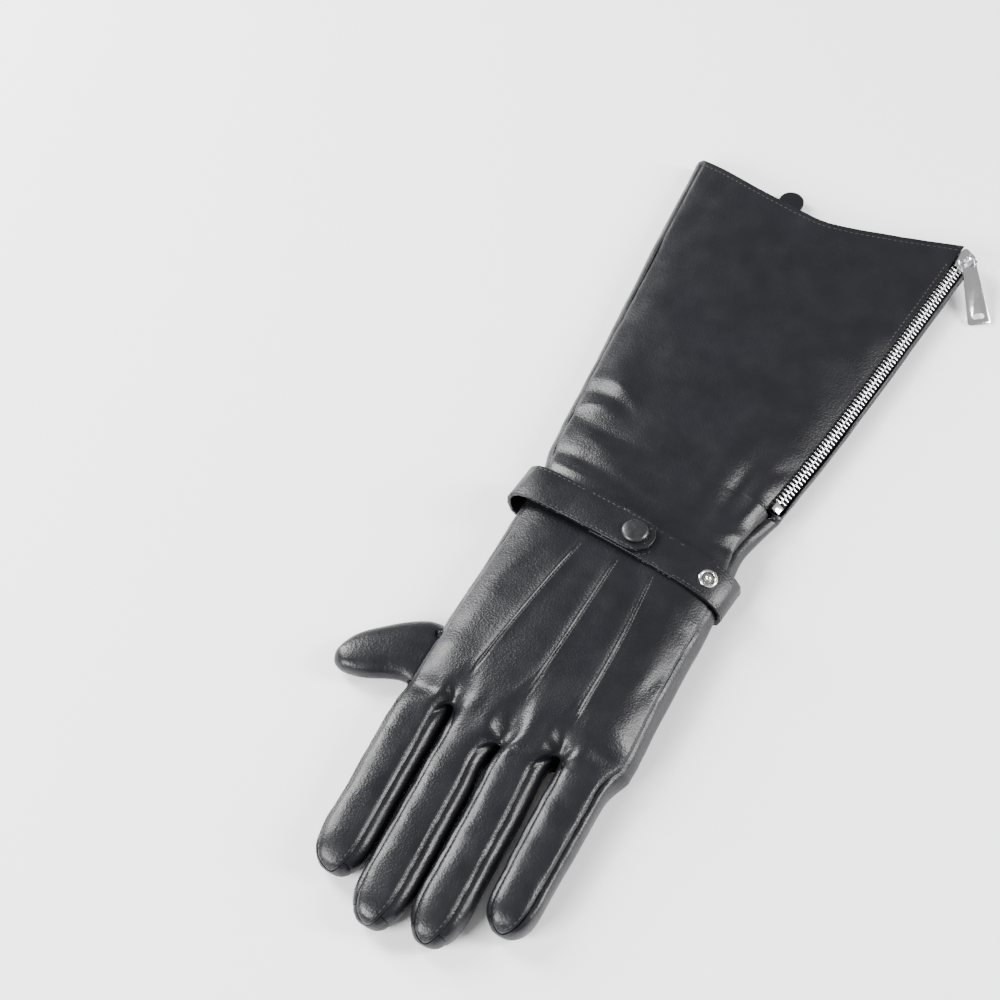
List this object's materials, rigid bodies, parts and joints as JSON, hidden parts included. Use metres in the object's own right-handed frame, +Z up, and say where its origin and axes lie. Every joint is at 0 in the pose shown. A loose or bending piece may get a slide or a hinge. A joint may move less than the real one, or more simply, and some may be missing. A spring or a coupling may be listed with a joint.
{
  "type": "leather gauntlet glove",
  "caption": "Black leather gauntlet glove for the left hand, with a long zipped cuff, a snapped wrist strap and raised points on the back",
  "frame": {"origin": "under the middle of the palm, on the flat face that the glove lies on", "axes": "+Z up out of the back of the hand, +Y along the arm towards the hem, fingers towards -Y, +X towards the little finger and the zip"},
  "size_m": [0.1735, 0.4341, 0.0282],
  "materials": {
    "leather": "semi-gloss black glove leather",
    "enamel": "black enamel",
    "tape": "woven tape",
    "metal": "polished nickel plate"
  },
  "bodies": {
    "root": {"hand_back": "leather", "hand_palm": "leather", "fourchette_index_middle": "leather", "fourchette_middle_ring": "leather", "fourchette_ring_little": "leather", "thumb": "leather", "cuff_back": "leather", "cuff_palm": "leather", "hem_tab": "leather", "wrist_strap": "leather", "snap_cap": "enamel", "snap_stud": "metal", "zip_tape_back": "tape", "zip_tape_palm": "tape", "zip_teeth_back": "metal", "zip_teeth_palm": "metal", "zip_bottom_stop": "metal", "zip_slider": "metal", "zip_pull": "metal"}
  },
  "joints": []
}
